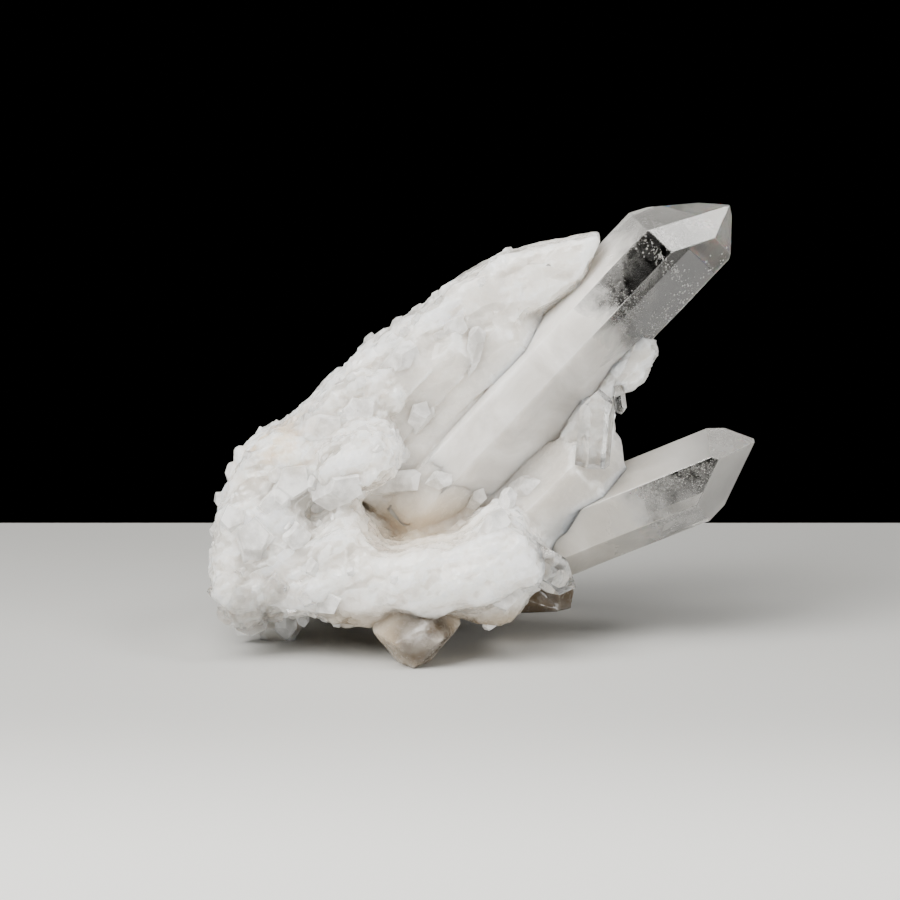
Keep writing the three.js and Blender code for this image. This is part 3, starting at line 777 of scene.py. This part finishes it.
def refine(mass, pockets, roots):
    """Breaks up the rough parts of the mass."""
    bm = bmesh.new()
    bm.from_mesh(mass.data)
    bmesh.ops.triangulate(bm, faces=bm.faces[:])
    flat = bm.faces.layers.int.new("flat")
    mark_flats(bm, flat, FLAT_AREA)
    divide(bm, flat, ROUGH_EDGE, FLAT_EDGE)
    bm.to_mesh(mass.data)
    bm.free()
    roughen(mass.data, pockets, roots)


def keep_inside(obj):
    """Holds every corner inside the solid's box."""
    for v in obj.data.vertices:
        v.co = [min(max(c, lo), hi) for c, lo, hi in zip(v.co, *CAD_BOX)]


def area_light(name, place, target, size, power, colour=(1, 1, 1), size_y=None):
    """A soft square or oblong light that shines at a target, in metres and watts."""
    data = bpy.data.lights.new(name, "AREA")
    data.shape = "RECTANGLE"
    data.size = size
    data.size_y = size_y or size
    data.energy = power
    data.color = colour
    obj = bpy.data.objects.new(name, data)
    obj.location = place
    obj.rotation_euler = (Vector(target) - Vector(place)).to_track_quat("-Z", "Y").to_euler()
    bpy.context.scene.collection.objects.link(obj)
    obj.visible_camera = False
    return obj


def build_camera():
    """The camera at the photograph's place, angle and lens."""
    data = bpy.data.cameras.new("camera")
    data.sensor_width = 36
    data.sensor_fit = "HORIZONTAL"
    data.lens = data.sensor_width * LENS_PIXELS / PHOTO_PIXELS
    data.clip_start = 0.01
    obj = bpy.data.objects.new("camera", data)
    obj.location = spot(*EYE)
    obj.rotation_euler = (math.radians(90 - LOOK_DOWN), 0, 0)
    bpy.context.scene.collection.objects.link(obj)
    bpy.context.scene.camera = obj


def build_floor():
    """A pale floor that ends where the photograph's table does."""
    bm = bmesh.new()
    side, near, far = 1.2, -1.1, 0.228
    corners = [(-side, near, 0), (side, near, 0), (side, far, 0), (-side, far, 0)]
    bm.faces.new([bm.verts.new(c) for c in corners])
    obj = link("floor", bm)
    obj.data.materials.append(floor_material())


build_camera()
build_floor()
WARM_LIGHT = (1, 0.985, 0.955)
area_light("key", (0.60, -0.25, 0.95), (0.05, 0, 0.1), 0.32, 4.4, WARM_LIGHT)
area_light("front_left", (-0.75, -0.75, 0.9), (-0.02, -0.08, 0.05), 0.8, 29, WARM_LIGHT)
area_light("top", (-0.2, -0.45, 1.1), (0, -0.08, 0.05), 0.7, 10.5, WARM_LIGHT)
area_light("fill", (0.85, -0.85, 0.24), (0.03, 0, 0.10), 0.4, 7.5)
area_light("back", (0.1, 0.95, 0.75), (0.05, 0, 0.1), 1.5, 0.9, size_y=0.7)

world = bpy.data.worlds.new("dark_studio")
world.use_nodes = True
world.node_tree.nodes["Background"].inputs["Color"].default_value = (0.0, 0.0, 0.0, 1)
bpy.context.scene.world = world

UPPER_AXIS = heading(UPPER["rise"], UPPER["lean"])
LOWER_AXIS = heading(LOWER["rise"], LOWER["lean"])
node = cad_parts["quartz_cluster"]
mass = build_mass(node)


def dress(piece, material):
    """Gives a piece its material and shows it with others in place of the solid."""
    piece.data.materials.append(material)
    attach(piece, "root")
    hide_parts("quartz_cluster")


POCKETS = []


def pocket(planes):
    """Cuts a block of half-spaces out of the mass and remembers it."""
    cut_out(mass, solid("cutter", planes))
    POCKETS.append(planes)


# A long point: its longest edge in metres, and how long and how deep its root dives into the mass,
# in millimetres
POINT_EDGE = 0.0022
DIVE_LENGTH = 30
DIVE_DEPTH = 2.2


def point(name, spec, axis, zones, pocket_length, milkiness, hazy_side=None):
    """Cuts the clear part of a long point out of the mass and lays the whole point over it, its root a
    little proud and uneven until it dives in. A hazy side is given by how far from the tip and across
    its edge lies, and by the edge's run and rise."""
    size = {k: spec[k] for k in ("at", "turn", "sides", "caps")}
    pocket(prism_planes(axis=axis, grow=POCKET_GAP, back=pocket_length, **size))
    planes = prism_planes(axis=axis, back=spec["back"], **size)
    obj = solid(name, planes)
    tip = max(obj.data.vertices, key=lambda v: v.co.dot(axis)).co.copy()
    bm = bmesh.new()
    bm.from_mesh(obj.data)
    bmesh.ops.bevel(bm, geom=bm.edges[:], offset=0.18 * MM, segments=1, affect="EDGES")
    bmesh.ops.triangulate(bm, faces=bm.faces[:])
    divide(bm, bm.faces.layers.int.new("flat"), POINT_EDGE, POINT_EDGE)
    bm.to_mesh(obj.data)
    bm.free()
    surface = Surface(obj.data)
    away = (np.array(spot(*spec["at"])) - surface.places) @ np.array(axis)
    weight = np.clip((away - 0.75 * pocket_length * MM) / 0.012, 0, 1)
    surface.soften(weight, 10)
    under = np.clip((away - (spec["back"] - DIVE_LENGTH) * MM) / 0.02, 0, 1)
    normals = surface.normals()
    for i, w in enumerate(weight):
        p = Vector(surface.places[i])
        lift = 0.3 + noise.noise(p / 0.012) * 0.4 + noise.noise(p / 0.005) * 0.15
        surface.places[i] += normals[i] * (lift * w - under[i] * DIVE_DEPTH) * MM
    surface.write()
    obj.data.polygons.foreach_set("use_smooth", [True] * len(obj.data.polygons))
    obj.data.set_sharp_from_angle(angle=math.radians(14))
    side_haze = None
    if hazy_side:
        away_mm, across_mm, run, rise = hazy_side
        across = axis.cross((-SIGHT + axis * SIGHT.dot(axis)).normalized())
        left = (-across * run - axis * rise).normalized()
        side_haze = (left, tip + (-axis * away_mm + across * across_mm) * MM)
    dress(obj, point_material(name, axis, tip, planes, zones, milkiness, side_haze))
    return tip, planes


# How far each clear part reaches into the mass from its point's place, in millimetres
UPPER_POCKET = 66
LOWER_POCKET = 52

# Zones: plane number (side k is 2k, cap k is 2k + 1), then start, end, wander, haze, mottle, roughness
upper_tip, upper_planes = point("upper_point", UPPER, UPPER_AXIS, {
    "rest": (0.045, 0.062, 0.03, 0.16, 0.08, 0.02),
    0: (0.050, 0.070, 0.034, 0.0, 0.03, 0.01),
    1: (0.2, 0.3, 0.0, 0.20, 0.15, 0.15),
    2: (0.054, 0.076, 0.034, 0.0, 0.03, 0.01),
    10: (0.024, 0.052, 0.03, 0.12, 0.1, 0.06),
    11: (0.2, 0.3, 0.0, 0.05, 0.05, 0.1),
}, UPPER_POCKET, (1.0, 1.0, 1.0), (30, -16.4, 25, 10.7))
lower_tip, lower_planes = point("lower_point", LOWER, LOWER_AXIS, {
    "rest": (0.030, 0.045, 0.024, 0.25, 0.1, 0.04),
    0: (0.030, 0.066, 0.034, 0.0, 0.14, 0.02),
    2: (0.030, 0.070, 0.03, 0.1, 0.25, 0.06),
    3: (0.2, 0.3, 0.0, 0.32, 0.08, 0.3),
    10: (0.012, 0.044, 0.01, 0.25, 0.05, 0.3),
    11: (0.2, 0.3, 0.0, 0.32, 0.05, 0.25),
}, LOWER_POCKET, (0.62, 0.61, 0.585))

glass = clear_material()
for name, spec in CLEAR.items():
    pocket(small_planes(grow=POCKET_GAP, **spec))
    dress(solid(name, small_planes(**spec)), glass)


def local(tip, axis, away, across, depth):
    """A place inside a long point: millimetres from the tip, to the lower right and to the back."""
    front = (-SIGHT + axis * SIGHT.dot(axis)).normalized()
    return tip + (-axis * away + axis.cross(front) * across - front * depth) * MM


def veil(name, planes, centre, long_way, wide_way, size, bend, seed):
    """A bent sheet with a fading edge, inside the stone."""
    count = 22
    bm = bmesh.new()
    fade = bm.verts.layers.float.new("fade")
    normal = long_way.cross(wide_way).normalized()
    grid = []
    for i in range(count + 1):
        for j in range(count + 1):
            u, v = 2 * i / count - 1, 2 * j / count - 1
            p = centre + (long_way * u * size[0] + wide_way * v * size[1]) * MM
            p += normal * noise.noise(p / 0.009 + Vector((seed, 0, 0))) * bend * MM
            vert = bm.verts.new(p)
            vert[fade] = max(0.0, 1.0 - (u * u + v * v) ** 0.5)
            grid.append(vert)
    row = count + 1
    inside = depth_in(planes, np.array([v.co for v in grid])) < -0.0004
    for i in range(count):
        for j in range(count):
            a = i * row + j
            around = (a, a + row, a + row + 1, a + 1)
            if all(inside[k] for k in around):
                bm.faces.new([grid[k] for k in around])
    bmesh.ops.delete(bm, geom=[v for v in bm.verts if not v.link_faces], context="VERTS")
    dress(link(name, bm, smooth=True), veil_stuff)


def bubbles(name, planes, places, seed):
    """Tiny eight-sided specks in swarms inside the stone, each with a middle and reaches in millimetres."""
    roll = random.Random(seed)
    bm = bmesh.new()
    for centre, ways, count, sizes in places:
        for _ in range(count):
            p = centre.copy()
            for way, reach in ways:
                p += way * roll.gauss(0, 0.45) * reach * MM
            r = roll.uniform(*sizes) * MM
            if depth_in(planes, np.array([p]))[0] > -1.6 * r - 0.0001:
                continue
            stretch = Vector((roll.uniform(0.6, 1.6), roll.uniform(0.6, 1.6), roll.uniform(0.6, 1.6)))
            ends = [Vector(way) * side * r * long for way, long in zip((X_WAY, Y_WAY, Z_WAY), stretch)
                    for side in (1, -1)]
            corners = [bm.verts.new(p + end) for end in ends]
            for a, b, c in ((0, 2, 4), (2, 1, 4), (1, 3, 4), (3, 0, 4), (2, 0, 5), (1, 2, 5), (3, 1, 5),
                            (0, 3, 5)):
                bm.faces.new((corners[a], corners[b], corners[c]))
    dress(link(name, bm, smooth=True), inclusion_material())


veil_stuff = veil_material()
upper_front = (-SIGHT + UPPER_AXIS * SIGHT.dot(UPPER_AXIS)).normalized()
upper_across = UPPER_AXIS.cross(upper_front)
lower_front = (-SIGHT + LOWER_AXIS * SIGHT.dot(LOWER_AXIS)).normalized()
lower_across = LOWER_AXIS.cross(lower_front)

for sheet in [
    ("upper_plume", upper_planes, local(upper_tip, UPPER_AXIS, 46, -16, 2), UPPER_AXIS, upper_across,
     (20, 9), 5, 3),
    ("upper_plume_behind", upper_planes, local(upper_tip, UPPER_AXIS, 46, -13, 12), UPPER_AXIS,
     upper_across, (18, 9), 6, 5),
    ("upper_curtain", upper_planes, local(upper_tip, UPPER_AXIS, 44, 12, 5), UPPER_AXIS,
     (upper_across * 0.5 + upper_front * 0.8).normalized(), (18, 8), 4, 7),
    ("lower_curtain", lower_planes, local(lower_tip, LOWER_AXIS, 30, -2, 6), LOWER_AXIS, lower_across,
     (16, 10), 4, 9),
    ("lower_plume", lower_planes, local(lower_tip, LOWER_AXIS, 34, 4, 10), LOWER_AXIS, lower_across,
     (16, 9), 4, 11),
]:
    veil(*sheet)


def swarm(tip, axis, ways, away, across, depth, reach, count, sizes):
    """A swarm of specks: its middle, how far it spreads along, across and through, count and sizes."""
    return local(tip, axis, away, across, depth), tuple(zip((axis, *ways), reach)), count, sizes


UPPER_WAYS = (upper_across, upper_front)
LOWER_WAYS = (lower_across, lower_front)
bubbles("upper_bubbles", upper_planes, [swarm(upper_tip, UPPER_AXIS, UPPER_WAYS, *row) for row in (
    (36, 12, 1, (22, 9, 4), 260, (0.1, 0.42)),
    (31, -4, 4, (3, 8, 3), 90, (0.1, 0.4)),
    (55, -7, 1, (9, 9, 4), 420, (0.08, 0.3)),
    (56, 12, 1, (8, 7, 3), 160, (0.08, 0.42)),
    (30, -15, 1, (8, 3, 3), 60, (0.1, 0.36)),
)], 5)
bubbles("lower_bubbles", lower_planes, [swarm(lower_tip, LOWER_AXIS, LOWER_WAYS, *row) for row in (
    (27, 2, 1, (18, 9, 3), 420, (0.08, 0.3)),
    (44, 2, 1, (12, 9, 3), 700, (0.08, 0.32)),
)], 6)


def core(name, planes, axis, tip, start, inset, seed):
    """Milky stone inside a long point, with a broken front towards the tip."""
    front = tip.dot(axis) - start
    inner = [(n, d - inset) for n, d in planes] + [(axis, front), (-axis, CORE_LENGTH - front)]
    obj = solid(name, inner)
    bm = bmesh.new()
    bm.from_mesh(obj.data)
    bmesh.ops.triangulate(bm, faces=bm.faces[:])
    divide(bm, bm.faces.layers.int.new("flat"), CORE_EDGE, CORE_EDGE)
    bm.to_mesh(obj.data)
    bm.free()
    surface = Surface(obj.data)
    shift = Vector((seed, 0, 0))
    for i in range(len(surface.places)):
        p = Vector(surface.places[i])
        near = max(0.0, 1.0 - (front - p.dot(axis)) / 0.014)
        lift = (noise.noise(p / 0.009 + shift) * 9 + noise.noise(p / 0.0035 + shift) * 3 - 4) * MM
        surface.places[i] += np.array(axis) * lift * near
    surface.write()
    obj.data.polygons.foreach_set("use_smooth", [True] * len(obj.data.polygons))
    dress(obj, core_stuff)


# Length and longest edge of a milky core, in metres
CORE_LENGTH = 0.04
CORE_EDGE = 0.0018
core_stuff = core_material()
core("upper_core", upper_planes, UPPER_AXIS, upper_tip, 0.065, 0.0022, 3)
core("lower_core", lower_planes, LOWER_AXIS, lower_tip, 0.047, 0.002, 5)

refine(mass, POCKETS, [
    (UPPER_AXIS, spot(*UPPER["at"]), upper_planes, UPPER_POCKET * MM),
    (LOWER_AXIS, spot(*LOWER["at"]), lower_planes, LOWER_POCKET * MM)])
keep_inside(mass)
mass.data.materials.clear()
mass.data.materials.append(milky_material())
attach(mass, "root")
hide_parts("quartz_cluster")

# View place, rise, lean, turn, width, height out, depth in, seed
FRONT_CRYSTALS = [
    (405, 482, 8, 14, 12, 8.0, 9, 14, 3),
    (421, 411, 62, 30, 5, 7.5, 5, 12, 5),
    (457, 325, 58, 34, 20, 8.0, 4.5, 14, 7),
    (474, 346, 76, 20, 40, 6.5, 8, 16, 9),
    (535, 484, 40, 40, 10, 8.5, 3, 12, 11),
    (319, 510, 40, 50, 15, 12, 6, 14, 13),
    (296, 536, 72, 36, 35, 10, 6, 16, 15),
    (254, 536, 86, 30, 0, 13, 8, 18, 17),
    (274, 584, 78, 40, 20, 11, 5, 16, 19),
    (240, 596, 106, 36, 10, 11, 5, 16, 21),
    (333, 600, 10, 52, 25, 11, 4, 14, 23),
    (515, 592, 0, 46, 12, 13, 4, 16, 25),
    (497, 522, 64, 24, 18, 8, 6, 16, 27),
    (506, 505, 76, 12, 44, 5.5, 7, 14, 29),
    (232, 516, 108, 30, 5, 9, 5, 14, 31),
    (560, 560, 20, 40, 30, 9, 3.5, 14, 33),
    (298, 474, 50, 34, 12, 13, 5, 16, 35),
    (352, 480, 34, 44, 40, 13, 4, 16, 37),
    (365, 408, 40, 36, 5, 13, 5, 16, 39),
    (330, 425, 34, 30, 25, 11, 5, 16, 41),
    (410, 352, 44, 34, 50, 10, 4, 14, 43),
    (270, 505, 84, 30, 18, 9, 5, 14, 45),
    (445, 478, 34, 30, 15, 7.5, 3.5, 12, 47),
    (478, 494, 52, 30, 25, 7, 3.5, 12, 49),
]
placed = place_crystals("set_crystals", mass.data, FRONT_CRYSTALS)
dress(placed, druse_material())
keep_inside(placed)
druse = sow("small_crystals", mass.data, 1300, 4, druse_place, POCKETS + [upper_planes, lower_planes])
dress(druse, druse_material())
keep_inside(druse)
